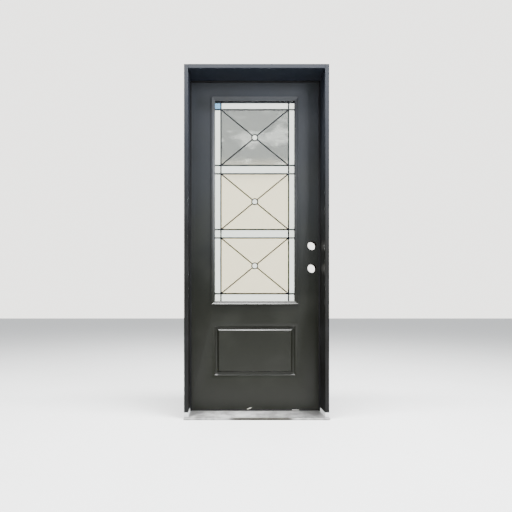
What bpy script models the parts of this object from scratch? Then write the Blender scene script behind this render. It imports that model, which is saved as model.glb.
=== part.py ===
"""Single entrance door, hung in its own frame: a moulded fibreglass slab with a decorative glass
unit over one raised panel, between two jambs and a head, above a low aluminium sill.

Metres, +Z up. The outside faces -Y. The origin is at the middle of the footprint, on the floor.
The slab and what is fixed to it are parented to an empty on the hinge line, at the left as seen
from outside, and swing inwards, towards +Y.
"""
import math

import bmesh
import bpy
from mathutils import Matrix, Vector

# Frame
FRAME_WIDTH = 0.844
FRAME_HEIGHT = 2.062
JAMB_DEPTH = 0.166
JAMB_BOARD = 0.013
STOP_THICKNESS = 0.011
EDGE_EASE = 0.0015

# Slab
SLAB_THICKNESS = 0.0445
SLAB_MARGIN = 0.003
SLAB_BOTTOM = 0.022
SLAB_EASE = 0.0012

# Seals
SEAL_SPACE = 0.008
SEAL_REACH = 0.008
SWEEP_INSET = 0.004
SWEEP_LIFT = 0.0006

# Sill
NOSE_PROJECTION = 0.020
NOSE_HEIGHT = 0.012
NOSE_EASE = 0.001
TREAD_HEIGHT = 0.0155
CAP_SEAT = 0.009
CAP_HEIGHT = 0.017
CAP_EASE = 0.0015
RIB_COUNT = 5
RIB_WIDTH = 0.004
RIB_HEIGHT = 0.0008

# Stiles and rails, from the slab's edges to the lite frame and the panel's sticking
STILE_WIDTH = 0.1382
TOP_RAIL = 0.101
LOCK_RAIL = 0.114
BOTTOM_RAIL = 0.192
PANEL_HEIGHT = 0.3395

# Lite frame section
LITE_PROUD = 0.0068
LITE_LAND = 0.0025
LITE_BEVEL = 0.0065
LITE_BEVEL_FALL = 0.0055
LITE_SLOPE = 0.013
LITE_SLOPE_FALL = 0.0075
LITE_FLANGE = 0.0085
LITE_EASE = 0.001

# Glass unit
PANE = 0.0032
CAME_DEPTH = 0.005
SPACER_DEPTH = 0.0035
SPACER_WIDTH = 0.006
GLASS_EDGE_ROOM = 0.002
CAME_WIDTH = 0.0090
DIAGONAL_WIDTH = 0.0078
SIDE_STRIP = 0.036
END_STRIP = 0.046
CROSS_STRIP = 0.052
CELL_COUNT = 3
RING_RADIUS = 0.0220
RING_WIDTH = 0.0072

# Panel sticking, from the outer edge inwards
STICKING_SLOPE = 0.018
STICKING_SLOPE_FALL = 0.0045
STICKING_DROP = 0.0075
STICKING_DEPTH = 0.0115
FIELD_RISE = 0.0105
FIELD_RISE_HEIGHT = 0.0025
FIELD_BEVEL = 0.0095
FIELD_BELOW_FACE = 0.0005

# Lock preparation
BACKSET = 0.055
BORE_RADIUS = 0.027
LATCH_RADIUS = 0.0127
LOCK_HEIGHT = 0.891
LOCK_SPACING = 0.140
FACEPLATE_WIDTH = 0.0256
FACEPLATE_HEIGHT = 0.0573
FACEPLATE_DEPTH = 0.003
STRIKE_RADIUS = 0.012
STRIKE_DEPTH = 0.009

# Hinges
HINGE_COUNT = 3
HINGE_HEIGHT = 0.102
HINGE_END_SPACE = 0.180
LEAF_WIDTH = 0.032
LEAF_THICKNESS = 0.0025
KNUCKLE_RADIUS = 0.006
KNUCKLE_COUNT = 5
KNUCKLE_STAND = 0.0006
PIN_RADIUS = 0.003
PIN_HEAD_RADIUS = 0.0045
PIN_HEAD_HEIGHT = 0.003

# Small clearances between separate pieces
GAP = 0.0003
POCKET_ROOM = 0.0004
KNUCKLE_ROOM = 0.0005
CUT_OVER = 0.004

# Where things fall, worked out from the sizes above
DEPTH_OVERALL = NOSE_PROJECTION + JAMB_DEPTH + KNUCKLE_STAND + 2 * KNUCKLE_RADIUS
FRONT = -DEPTH_OVERALL / 2 + NOSE_PROJECTION
BACK = FRONT + JAMB_DEPTH
SLAB_FRONT = BACK - SLAB_THICKNESS
STOP_BACK = SLAB_FRONT - SEAL_SPACE
HALF_FRAME = FRAME_WIDTH / 2
HALF_RABBET = HALF_FRAME - JAMB_BOARD
HALF_CLEAR = HALF_RABBET - STOP_THICKNESS
HALF_SLAB = HALF_RABBET - SLAB_MARGIN
HEAD_SOFFIT = FRAME_HEIGHT - JAMB_BOARD
SLAB_TOP = HEAD_SOFFIT - SLAB_MARGIN
HINGE_X = -HALF_RABBET + SLAB_MARGIN / 2
HINGE_Y = BACK + KNUCKLE_STAND + KNUCKLE_RADIUS
HALF_OPENING = HALF_SLAB - STILE_WIDTH
PANEL_BOTTOM = SLAB_BOTTOM + BOTTOM_RAIL
PANEL_HALF_HEIGHT = PANEL_HEIGHT / 2
PANEL_CENTRE = PANEL_BOTTOM + PANEL_HALF_HEIGHT
LITE_BOTTOM = PANEL_BOTTOM + PANEL_HEIGHT + LOCK_RAIL
LITE_TOP = SLAB_TOP - TOP_RAIL
LITE_HALF_HEIGHT = (LITE_TOP - LITE_BOTTOM) / 2
LITE_CENTRE = (LITE_TOP + LITE_BOTTOM) / 2
LITE_FACE = LITE_LAND + LITE_BEVEL + LITE_SLOPE
HALF_SIGHT = HALF_OPENING - LITE_FACE
HALF_SIGHT_HEIGHT = LITE_HALF_HEIGHT - LITE_FACE
HALF_CUT = HALF_OPENING - LITE_FLANGE
HALF_CUT_HEIGHT = LITE_HALF_HEIGHT - LITE_FLANGE
HALF_GLASS = HALF_CUT - GLASS_EDGE_ROOM
HALF_GLASS_HEIGHT = HALF_CUT_HEIGHT - GLASS_EDGE_ROOM
SLAB_MIDDLE = SLAB_FRONT + SLAB_THICKNESS / 2
UNIT_THICKNESS = 2 * PANE + 2 * SPACER_DEPTH + CAME_DEPTH + 4 * GAP

# One entry for each finish: colour, roughness, metallic, alpha
FINISHES = {
    "painted_slab": ((0.045, 0.046, 0.042), 0.42, 0.0, 1.0),
    "painted_frame": ((0.040, 0.041, 0.040), 0.40, 0.0, 1.0),
    "mill_aluminium": ((0.62, 0.62, 0.62), 0.38, 1.0, 1.0),
    "threshold_cap": ((0.10, 0.10, 0.10), 0.60, 0.0, 1.0),
    "foam_seal": ((0.012, 0.012, 0.013), 0.75, 0.0, 1.0),
    "clear_glass": ((0.90, 0.93, 0.92), 0.03, 0.0, 0.30),
    "blackened_came": ((0.020, 0.021, 0.020), 0.45, 0.6, 1.0),
    "steel_spacer": ((0.30, 0.30, 0.31), 0.45, 1.0, 1.0),
    "hinge_steel": ((0.45, 0.45, 0.44), 0.35, 1.0, 1.0),
}


def finish(name):
    """The material of this name, made once."""
    found = bpy.data.materials.get(name)
    if found:
        return found
    colour, roughness, metallic, alpha = FINISHES[name]
    material = bpy.data.materials.new(name)
    material.use_nodes = True
    shader = material.node_tree.nodes["Principled BSDF"]
    shader.inputs["Base Color"].default_value = (*colour, 1.0)
    shader.inputs["Roughness"].default_value = roughness
    shader.inputs["Metallic"].default_value = metallic
    shader.inputs["Alpha"].default_value = alpha
    return material


def new_object(name, mesh, group):
    """An object for this mesh in one of the two collections."""
    thing = bpy.data.objects.new(name, mesh)
    group.objects.link(thing)
    if group is CUTTERS:
        thing.hide_render = True
        thing.display_type = "WIRE"
    return thing


def dress(thing, finish_name, parent=None):
    """Give the piece its material, and hang it on an empty without moving it."""
    thing.data.materials.clear()
    thing.data.materials.append(finish(finish_name))
    if parent:
        thing.parent = parent
        thing.matrix_parent_inverse = Matrix.Translation(-parent.location)
    return thing


def mesh_from(form, name, group):
    """Turn a finished bmesh into an object, with its faces pointing out."""
    bmesh.ops.recalc_face_normals(form, faces=form.faces)
    mesh = bpy.data.meshes.new(name)
    form.to_mesh(mesh)
    form.free()
    return new_object(name, mesh, group)


def box(name, low, high, group):
    """A rectangular block between two corners."""
    form = bmesh.new()
    bmesh.ops.create_cube(form, size=1.0)
    low, high = Vector(low), Vector(high)
    size = high - low
    bmesh.ops.scale(form, vec=size, verts=form.verts)
    bmesh.ops.translate(form, vec=(low + high) / 2, verts=form.verts)
    return mesh_from(form, name, group)


def rod(name, radius, start, end, group, sides=24):
    """A round bar between two points."""
    start, end = Vector(start), Vector(end)
    run = end - start
    form = bmesh.new()
    bmesh.ops.create_cone(
        form, cap_ends=True, segments=sides, radius1=radius, radius2=radius, depth=run.length
    )
    turn = run.to_track_quat("Z", "Y").to_matrix().to_4x4()
    bmesh.ops.transform(form, matrix=Matrix.Translation((start + end) / 2) @ turn, verts=form.verts)
    return mesh_from(form, name, group)


# A flat outline stands in one of these planes, with its thickness along the third axis
PLANES = {
    "XY": Matrix(((1, 0, 0, 0), (0, 1, 0, 0), (0, 0, 1, 0), (0, 0, 0, 1))),
    "YZ": Matrix(((0, 0, 1, 0), (1, 0, 0, 0), (0, 1, 0, 0), (0, 0, 0, 1))),
    "XZ": Matrix(((1, 0, 0, 0), (0, 0, -1, 0), (0, 1, 0, 0), (0, 0, 0, 1))),
}


def prism(name, outlines, plane, start, end, group):
    """A filled flat outline, with any holes, carried from start to end across its plane."""
    curve = bpy.data.curves.new(name, "CURVE")
    curve.dimensions = "2D"
    curve.fill_mode = "BOTH"
    curve.extrude = (end - start) / 2
    for points in outlines:
        spline = curve.splines.new("POLY")
        spline.points.add(len(points) - 1)
        for point, (across, up) in zip(spline.points, points):
            point.co = (across, up, 0.0, 1.0)
        spline.use_cyclic_u = True
    guide = bpy.data.objects.new(name + "_outline", curve)
    CUTTERS.objects.link(guide)
    middle = (start + end) / 2
    guide.matrix_world = PLANES[plane] @ Matrix.Translation(
        (0, 0, -middle if plane == "XZ" else middle)
    )
    bpy.context.view_layer.update()
    mesh = bpy.data.meshes.new_from_object(guide.evaluated_get(bpy.context.evaluated_depsgraph_get()))
    form = bmesh.new()
    form.from_mesh(mesh)
    bmesh.ops.remove_doubles(form, verts=form.verts, dist=1e-6)
    bmesh.ops.recalc_face_normals(form, faces=form.faces)
    form.to_mesh(mesh)
    form.free()
    thing = new_object(name, mesh, group)
    thing.matrix_world = guide.matrix_world.copy()
    thing.data.transform(thing.matrix_world)
    thing.matrix_world = Matrix.Identity(4)
    bpy.data.objects.remove(guide)
    return thing


def mitred_ring(name, section, half_width, half_height, centre, face, inward, group):
    """A rectangular ring with mitred corners.

    Each section point is (inset from the outer rectangle, depth behind the face). The face is a
    plane across Y, and inward is the way its depth runs: +1 behind a front face, -1 behind a back.
    """
    form = bmesh.new()
    loops = []
    for inset, depth in section:
        across = half_width - inset
        up = half_height - inset
        y = face + inward * depth
        corners = ((-across, -up), (across, -up), (across, up), (-across, up))
        loops.append([form.verts.new((x, y, centre + z)) for x, z in corners])
    for index, loop in enumerate(loops):
        following = loops[(index + 1) % len(loops)]
        for corner in range(4):
            beside = (corner + 1) % 4
            form.faces.new((loop[corner], loop[beside], following[beside], following[corner]))
    return mesh_from(form, name, group)


def boolean(thing, tool, operation):
    """Cut the piece with a tool, or join one to it."""
    modifier = thing.modifiers.new(tool.name, "BOOLEAN")
    modifier.operation = operation
    modifier.solver = "EXACT"
    modifier.object = tool


def cut(thing, tool):
    boolean(thing, tool, "DIFFERENCE")


def join(thing, tool):
    boolean(thing, tool, "UNION")


def ease(points, amounts):
    """Cut each corner of an outline back by its own amount, or leave it where that is zero."""
    eased = []
    for index, (corner, amount) in enumerate(zip(points, amounts)):
        here = Vector(corner)
        if amount == 0:
            eased.append(tuple(here))
            continue
        before = Vector(points[index - 1]) - here
        after = Vector(points[(index + 1) % len(points)]) - here
        eased.append(tuple(here + before.normalized() * amount))
        eased.append(tuple(here + after.normalized() * amount))
    return eased


def jamb_outline(grow=0.0):
    """Section of a leg or the head: the board from its outer face, then the stop standing on it.

    Coordinates are (distance inwards from the outer face, y). Grow swells it for a clearance.
    """
    board = JAMB_BOARD + grow
    stop = JAMB_BOARD + STOP_THICKNESS + grow
    points = [
        (-grow, FRONT - grow),
        (stop, FRONT - grow),
        (stop, STOP_BACK + grow),
        (board, STOP_BACK + grow),
        (board, BACK + grow),
        (-grow, BACK + grow),
    ]
    small = 0.0 if grow else EDGE_EASE
    return ease(points, (0.0, small, 0.0, 0.0, small, 0.0))


def leg_outline(side, grow=0.0):
    """The leg's section in plan, at the left (-1) or the right (+1)."""
    return [(side * (HALF_FRAME - inward), y) for inward, y in jamb_outline(grow)]


def lock_heights():
    return [LOCK_HEIGHT, LOCK_HEIGHT + LOCK_SPACING]


def hinge_centres():
    """Heights of the hinges, spread evenly between the two end ones."""
    first = SLAB_BOTTOM + HINGE_END_SPACE + HINGE_HEIGHT / 2
    last = SLAB_TOP - HINGE_END_SPACE - HINGE_HEIGHT / 2
    step = (last - first) / (HINGE_COUNT - 1)
    return [first + step * index for index in range(HINGE_COUNT)]


def leaf_box(side, height, grow, name, group):
    """Block of one hinge leaf, let into the jamb (-1) or into the slab's edge (+1)."""
    face = HINGE_X + side * SLAB_MARGIN / 2
    low = min(face, face + side * (LEAF_THICKNESS + grow))
    high = max(face, face + side * (LEAF_THICKNESS + grow))
    if grow:
        low, high = (low, high + CUT_OVER) if side < 0 else (low - CUT_OVER, high)
    front = HINGE_Y - KNUCKLE_RADIUS - KNUCKLE_STAND - LEAF_WIDTH
    back = HINGE_Y if grow else HINGE_Y - KNUCKLE_RADIUS - KNUCKLE_ROOM
    return box(
        name,
        (low, front - grow, height - HINGE_HEIGHT / 2 - grow),
        (high, back, height + HINGE_HEIGHT / 2 + grow),
        group,
    )


def make_leg(name, side):
    """One side jamb, from the floor to the top, with its hinge pockets or strike holes."""
    leg = prism(name, [leg_outline(side)], "XY", 0.0, FRAME_HEIGHT, PARTS)
    if side < 0:
        for index, height in enumerate(hinge_centres()):
            cut(leg, leaf_box(-1, height, POCKET_ROOM, f"jamb_pocket_{index + 1}", CUTTERS))
        return dress(leg, "painted_frame")
    for index, height in enumerate(lock_heights()):
        start = (HALF_RABBET - CUT_OVER, SLAB_MIDDLE, height)
        end = (HALF_RABBET + STRIKE_DEPTH, SLAB_MIDDLE, height)
        cut(leg, rod(f"strike_hole_{index + 1}", STRIKE_RADIUS, start, end, CUTTERS))
    return dress(leg, "painted_frame")


def make_head():
    """The head, set between the legs."""
    outline = [(y, FRAME_HEIGHT - inward) for inward, y in jamb_outline()]
    reach = HALF_RABBET - GAP
    head = prism("head_jamb", [outline], "YZ", -reach, reach, PARTS)
    for side, name in ((-1, "hinge_side"), (1, "lock_side")):
        low = min(side * (HALF_CLEAR - GAP), side * HALF_FRAME)
        high = max(side * (HALF_CLEAR - GAP), side * HALF_FRAME)
        corner = box(
            f"head_corner_{name}",
            (low, FRONT - CUT_OVER, HEAD_SOFFIT - STOP_THICKNESS - CUT_OVER),
            (high, STOP_BACK + GAP, FRAME_HEIGHT + CUT_OVER),
            CUTTERS,
        )
        cut(head, corner)
    return dress(head, "painted_frame")


def make_sill():
    """Low sloping tread across the whole width, notched round the legs, with a seat for the cap."""
    nose = FRONT - NOSE_PROJECTION
    run = SLAB_FRONT - nose
    rise = (TREAD_HEIGHT - NOSE_HEIGHT) / run
    tread = []
    pitch = run / (RIB_COUNT + 1)
    for index in range(RIB_COUNT):
        start = nose + pitch * (index + 1) - RIB_WIDTH / 2
        end = start + RIB_WIDTH
        low, high = (NOSE_HEIGHT + rise * (y - nose) for y in (start, end))
        ease_in = RIB_WIDTH / 4
        tread += [
            (start, low),
            (start + ease_in, low + RIB_HEIGHT),
            (end - ease_in, high + RIB_HEIGHT),
            (end, high),
        ]
    outline = [
        (nose, 0.0),
        (nose, NOSE_HEIGHT - NOSE_EASE),
        (nose + NOSE_EASE, NOSE_HEIGHT + rise * NOSE_EASE),
        *tread,
        (SLAB_FRONT, TREAD_HEIGHT),
        (SLAB_FRONT, CAP_SEAT),
        (BACK, CAP_SEAT),
        (BACK, 0.0),
    ]
    sill = prism("sill", [outline], "YZ", -HALF_FRAME, HALF_FRAME, PARTS)
    for side, name in ((-1, "hinge_side"), (1, "lock_side")):
        notch = [
            (side * (HALF_FRAME + CUT_OVER), FRONT - GAP),
            (side * (HALF_CLEAR - GAP), FRONT - GAP),
            (side * (HALF_CLEAR - GAP), STOP_BACK + GAP),
            (side * (HALF_RABBET - GAP), STOP_BACK + GAP),
            (side * (HALF_RABBET - GAP), BACK + CUT_OVER),
            (side * (HALF_FRAME + CUT_OVER), BACK + CUT_OVER),
        ]
        cut(sill, prism(f"sill_notch_{name}", [notch], "XY", -CUT_OVER, TREAD_HEIGHT * 2, CUTTERS))
    return dress(sill, "mill_aluminium")


def make_threshold_cap():
    """Strip under the slab that the sweep closes against."""
    corners = [
        (SLAB_FRONT + GAP, CAP_SEAT + GAP),
        (SLAB_FRONT + GAP, CAP_HEIGHT),
        (BACK, CAP_HEIGHT),
        (BACK, CAP_SEAT + GAP),
    ]
    outline = ease(corners, (0.0, CAP_EASE, CAP_EASE, 0.0))
    reach = HALF_RABBET - 2 * GAP
    return dress(prism("threshold_cap", [outline], "YZ", -reach, reach, PARTS), "threshold_cap")


def seal_outline():
    """Section of a seal: (distance inwards from the board, y), rounded on its showing edge."""
    low = STOP_BACK + GAP
    high = SLAB_FRONT - GAP
    reach = STOP_THICKNESS + SEAL_REACH
    radius = (high - low) / 2
    middle = (low + high) / 2
    steps = 6
    nose = []
    for index in range(steps + 1):
        angle = math.pi * index / steps - math.pi / 2
        nose.append((reach - radius + radius * math.cos(angle), middle + radius * math.sin(angle)))
    return [(GAP, low), *nose, (GAP, high)]


def make_seals():
    """Foam seals on the back of the stops: the head's runs across, the side ones stop below it."""
    seals = []
    section = seal_outline()
    head_low = HEAD_SOFFIT - STOP_THICKNESS - SEAL_REACH
    outline = [(y, HEAD_SOFFIT - inward) for inward, y in section]
    reach = HALF_RABBET - GAP
    seals.append(prism("head_seal", [outline], "YZ", -reach, reach, PARTS))
    for side, name in ((-1, "hinge_side_seal"), (1, "lock_side_seal")):
        outline = [(side * (HALF_RABBET - inward), y) for inward, y in section]
        seals.append(prism(name, [outline], "XY", TREAD_HEIGHT + GAP, head_low - GAP, PARTS))
    for seal in seals:
        dress(seal, "foam_seal")
    return seals


def panel_section():
    """Groove round the raised field, as (inset, depth), closed off in front of the face."""
    bottom = STICKING_SLOPE + STICKING_DROP
    field = bottom + FIELD_RISE + FIELD_BEVEL
    return [
        (0.0, -CUT_OVER),
        (0.0, 0.0),
        (STICKING_SLOPE, STICKING_SLOPE_FALL),
        (bottom, STICKING_DEPTH),
        (bottom + FIELD_RISE, STICKING_DEPTH - FIELD_RISE_HEIGHT),
        (field, FIELD_BELOW_FACE),
        (field, -CUT_OVER),
    ]


def make_slab(parent):
    """The moulded slab, with both faces' panels, the lite cut-out, lock bores and hinge pockets."""
    slab = box(
        "slab",
        (-HALF_SLAB, SLAB_FRONT, SLAB_BOTTOM),
        (HALF_SLAB, BACK, SLAB_TOP),
        PARTS,
    )
    edges = slab.modifiers.new("eased_edges", "BEVEL")
    edges.width = SLAB_EASE
    edges.segments = 1
    opening = box(
        "lite_cut_out",
        (-HALF_CUT, SLAB_FRONT - CUT_OVER, LITE_CENTRE - HALF_CUT_HEIGHT),
        (HALF_CUT, BACK + CUT_OVER, LITE_CENTRE + HALF_CUT_HEIGHT),
        CUTTERS,
    )
    cut(slab, opening)
    for face, inward, name in ((SLAB_FRONT, 1, "outside"), (BACK, -1, "inside")):
        groove = mitred_ring(
            f"panel_groove_{name}",
            panel_section(),
            HALF_OPENING,
            PANEL_HALF_HEIGHT,
            PANEL_CENTRE,
            face,
            inward,
            CUTTERS,
        )
        cut(slab, groove)
    bore_x = HALF_SLAB - BACKSET
    for index, height in enumerate(lock_heights()):
        front = (bore_x, SLAB_FRONT - CUT_OVER, height)
        back = (bore_x, BACK + CUT_OVER, height)
        cut(slab, rod(f"lock_bore_{index + 1}", BORE_RADIUS, front, back, CUTTERS, sides=32))
        start = (bore_x, SLAB_MIDDLE, height)
        end = (HALF_SLAB + CUT_OVER, SLAB_MIDDLE, height)
        cut(slab, rod(f"latch_bore_{index + 1}", LATCH_RADIUS, start, end, CUTTERS))
        faceplate = box(
            f"faceplate_pocket_{index + 1}",
            (
                HALF_SLAB - FACEPLATE_DEPTH,
                SLAB_MIDDLE - FACEPLATE_WIDTH / 2,
                height - FACEPLATE_HEIGHT / 2,
            ),
            (
                HALF_SLAB + CUT_OVER,
                SLAB_MIDDLE + FACEPLATE_WIDTH / 2,
                height + FACEPLATE_HEIGHT / 2,
            ),
            CUTTERS,
        )
        cut(slab, faceplate)
    for index, height in enumerate(hinge_centres()):
        cut(slab, leaf_box(1, height, POCKET_ROOM, f"slab_pocket_{index + 1}", CUTTERS))
    return dress(slab, "painted_slab", parent)


def make_sweep(parent):
    """Soft strip along the slab's underside, just clear of the cap."""
    low = (-HALF_SLAB + SWEEP_INSET, SLAB_FRONT + SWEEP_INSET, CAP_HEIGHT + SWEEP_LIFT)
    high = (HALF_SLAB - SWEEP_INSET, BACK - SWEEP_INSET, SLAB_BOTTOM - GAP)
    return dress(box("door_sweep", low, high, PARTS), "foam_seal", parent)


def lite_section():
    """Section of a lite frame: a flange over the slab's face and a web that holds the glass."""
    glass = (SLAB_THICKNESS - UNIT_THICKNESS) / 2 - GAP
    bevel_end = LITE_LAND + LITE_BEVEL
    slope_start = -LITE_PROUD + LITE_BEVEL_FALL
    return [
        (0.0, -GAP),
        (0.0, -LITE_PROUD + LITE_EASE),
        (LITE_EASE, -LITE_PROUD),
        (LITE_LAND, -LITE_PROUD),
        (bevel_end, slope_start),
        (LITE_FACE, slope_start + LITE_SLOPE_FALL),
        (LITE_FACE, glass),
        (LITE_FLANGE + GAP, glass),
        (LITE_FLANGE + GAP, -GAP),
    ]


def make_lite_frames(parent):
    """Outer and inner halves that clamp the glass unit into the slab."""
    halves = ((SLAB_FRONT, 1, "lite_frame_outside"), (BACK, -1, "lite_frame_inside"))
    for face, inward, name in halves:
        half = mitred_ring(
            name, lite_section(), HALF_OPENING, LITE_HALF_HEIGHT, LITE_CENTRE, face, inward, PARTS
        )
        dress(half, "painted_slab", parent)


def pane_of(name, y, depth, finish_name, parent):
    """A full-size flat layer of the glass unit, starting at y."""
    low = (-HALF_GLASS, y, LITE_CENTRE - HALF_GLASS_HEIGHT)
    high = (HALF_GLASS, y + depth, LITE_CENTRE + HALF_GLASS_HEIGHT)
    return dress(box(name, low, high, PARTS), finish_name, parent)


def came_lines():
    """Centre lines of the cames: half the width between the uprights, and each level's height."""
    half_cell = HALF_SIGHT - SIDE_STRIP
    clear = 2 * HALF_SIGHT_HEIGHT - 2 * END_STRIP - (CELL_COUNT - 1) * CROSS_STRIP
    cell_height = clear / CELL_COUNT
    cells = []
    bottom = LITE_CENTRE - HALF_SIGHT_HEIGHT + END_STRIP
    for _ in range(CELL_COUNT):
        cells.append((bottom, bottom + cell_height))
        bottom += cell_height + CROSS_STRIP
    return half_cell, cells


def rectangle(left, right, low, high):
    return [(left, low), (right, low), (right, high), (left, high)]


def wedge_outline(centre, half_width, half_height, quarter):
    """One of four pieces of glass in a crossed cell, cut round the ring at the middle.

    The cell's diagonals run from corner to corner. Quarter 0 lies below the ring, 1 to the right,
    2 above and 3 to the left.
    """
    slope = math.atan2(half_height, half_width)
    near = DIAGONAL_WIDTH / 2
    ring = RING_RADIUS
    reach = math.asin(near / ring)
    spans = (
        (-math.pi + slope, -slope),
        (-slope, slope),
        (slope, math.pi - slope),
        (math.pi - slope, math.pi + slope),
    )
    start, end = spans[quarter]
    steps = 5
    points = []
    for index in range(steps + 1):
        angle = end - reach + (start - end + 2 * reach) * index / steps
        points.append((centre[0] + ring * math.cos(angle), centre[1] + ring * math.sin(angle)))
    inner_width = half_width - CAME_WIDTH / 2
    inner_height = half_height - CAME_WIDTH / 2
    for angle, turn in ((start, 1), (end, -1)):
        along = Vector((math.cos(angle), math.sin(angle)))
        beside = Vector((-along.y, along.x)) * near * turn
        if quarter in (1, 3):
            length = (math.copysign(inner_width, along.x) - beside.x) / along.x
        else:
            length = (math.copysign(inner_height, along.y) - beside.y) / along.y
        corner = along * length + beside
        points.append((centre[0] + corner.x, centre[1] + corner.y))
    return points


def circle_outline(centre, radius, sides):
    turns = [2 * math.pi * index / sides for index in range(sides)]
    return [(centre[0] + radius * math.cos(a), centre[1] + radius * math.sin(a)) for a in turns]


def glass_outlines():
    """Every opening in the came lattice that holds a piece of glass."""
    half_cell, cells = came_lines()
    half = CAME_WIDTH / 2
    rim = HALF_SIGHT + half
    rim_low = LITE_CENTRE - HALF_SIGHT_HEIGHT - half
    rim_high = LITE_CENTRE + HALF_SIGHT_HEIGHT + half
    levels = [rim_low - half, *[level for cell in cells for level in cell], rim_high + half]
    columns = (
        (-rim, -half_cell - half),
        (-half_cell + half, half_cell - half),
        (half_cell + half, rim),
    )
    openings = []
    for row, (low, high) in enumerate(zip(levels[:-1], levels[1:])):
        crossed = row % 2 == 1
        for column, (left, right) in enumerate(columns):
            if column == 1 and crossed:
                continue
            openings.append(rectangle(left, right, low + half, high - half))
    for low, high in cells:
        centre = (0.0, (low + high) / 2)
        for quarter in range(4):
            openings.append(wedge_outline(centre, half_cell, (high - low) / 2, quarter))
        openings.append(circle_outline(centre, RING_RADIUS - RING_WIDTH, 20))
    return openings


def make_glass_unit(parent):
    """Two clear panes with the leaded panel held between them by a spacer at each side."""
    y = SLAB_MIDDLE - UNIT_THICKNESS / 2
    pane_of("glass_outside", y, PANE, "clear_glass", parent)
    y += PANE + GAP
    ring = [
        (0.0, 0.0),
        (0.0, SPACER_DEPTH),
        (SPACER_WIDTH, SPACER_DEPTH),
        (SPACER_WIDTH, 0.0),
    ]
    size = (HALF_GLASS, HALF_GLASS_HEIGHT, LITE_CENTRE)
    dress(mitred_ring("spacer_outside", ring, *size, y, 1, PARTS), "steel_spacer", parent)
    y += SPACER_DEPTH + GAP
    lattice = pane_of("came_lattice", y, CAME_DEPTH, "blackened_came", parent)
    for number, outline in enumerate(glass_outlines()):
        reach = (y - CUT_OVER, y + CAME_DEPTH + CUT_OVER)
        cut(lattice, prism(f"glass_opening_{number}", [outline], "XZ", *reach, CUTTERS))
    y += CAME_DEPTH + GAP
    dress(mitred_ring("spacer_inside", ring, *size, y, 1, PARTS), "steel_spacer", parent)
    y += SPACER_DEPTH + GAP
    pane_of("glass_inside", y, PANE, "clear_glass", parent)


def make_hinge(number, height, parent):
    """A butt hinge: a leaf with the odd knuckles on the jamb, one with the even ones on the slab."""
    knuckle = HINGE_HEIGHT / KNUCKLE_COUNT
    bottom = height - HINGE_HEIGHT / 2
    for side, owner, first in ((-1, "jamb", 0), (1, "slab", 1)):
        name = f"hinge_{number}_{owner}_leaf"
        leaf = leaf_box(side, height, 0.0, name, PARTS)
        for index in range(first, KNUCKLE_COUNT, 2):
            low = bottom + knuckle * index + (KNUCKLE_ROOM if index else 0.0) / 2
            high = bottom + knuckle * (index + 1) - KNUCKLE_ROOM / 2
            barrel = rod(
                f"{name}_knuckle_{index + 1}",
                KNUCKLE_RADIUS,
                (HINGE_X, HINGE_Y, low),
                (HINGE_X, HINGE_Y, high),
                CUTTERS,
            )
            near = HINGE_X + side * SLAB_MARGIN / 2
            far = near + side * LEAF_THICKNESS
            neck = box(
                f"{name}_neck_{index + 1}",
                (min(near, far), HINGE_Y - KNUCKLE_RADIUS - 4 * KNUCKLE_ROOM, low),
                (max(near, far), HINGE_Y - KNUCKLE_RADIUS / 3, high),
                CUTTERS,
            )
            join(leaf, barrel)
            join(leaf, neck)
        bore = rod(
            f"{name}_bore",
            PIN_RADIUS + GAP,
            (HINGE_X, HINGE_Y, bottom - CUT_OVER),
            (HINGE_X, HINGE_Y, bottom + HINGE_HEIGHT + CUT_OVER),
            CUTTERS,
            sides=16,
        )
        cut(leaf, bore)
        dress(leaf, "hinge_steel", parent if side > 0 else None)
    top = bottom + HINGE_HEIGHT
    pin = rod(
        f"hinge_{number}_pin",
        PIN_RADIUS,
        (HINGE_X, HINGE_Y, bottom),
        (HINGE_X, HINGE_Y, top + GAP + PIN_HEAD_HEIGHT / 2),
        PARTS,
        sides=16,
    )
    head = rod(
        f"hinge_{number}_pin_head",
        PIN_HEAD_RADIUS,
        (HINGE_X, HINGE_Y, top + GAP),
        (HINGE_X, HINGE_Y, top + GAP + PIN_HEAD_HEIGHT),
        CUTTERS,
        sides=16,
    )
    join(pin, head)
    dress(pin, "hinge_steel")


def clear_scene():
    for thing in list(bpy.data.objects):
        bpy.data.objects.remove(thing)


def new_collection(name):
    group = bpy.data.collections.new(name)
    bpy.context.scene.collection.children.link(group)
    return group


clear_scene()
PARTS = new_collection("entrance_door")
CUTTERS = new_collection("cutters")

swing = bpy.data.objects.new("door_swing", None)
swing.location = (HINGE_X, HINGE_Y, 0.0)
PARTS.objects.link(swing)

make_leg("hinge_jamb", -1)
make_leg("lock_jamb", 1)
make_head()
make_sill()
make_threshold_cap()
make_seals()
make_slab(swing)
make_sweep(swing)
make_lite_frames(swing)
make_glass_unit(swing)
for place, hinge_height in enumerate(hinge_centres()):
    make_hinge(place + 1, hinge_height, swing)
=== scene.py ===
"""Looks of a single entrance door in its frame: painted fibreglass, leaded glass and bright sill.

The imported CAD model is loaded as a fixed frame. Pieces whose CAD shape is right are copied with
their arrises rounded, the finer ones are worked out here with numpy, and every surface gets a
procedural finish. Lengths are metres unless a name ends in _mm.
"""
import logging
import math
from dataclasses import dataclass, field
from enum import Enum

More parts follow.
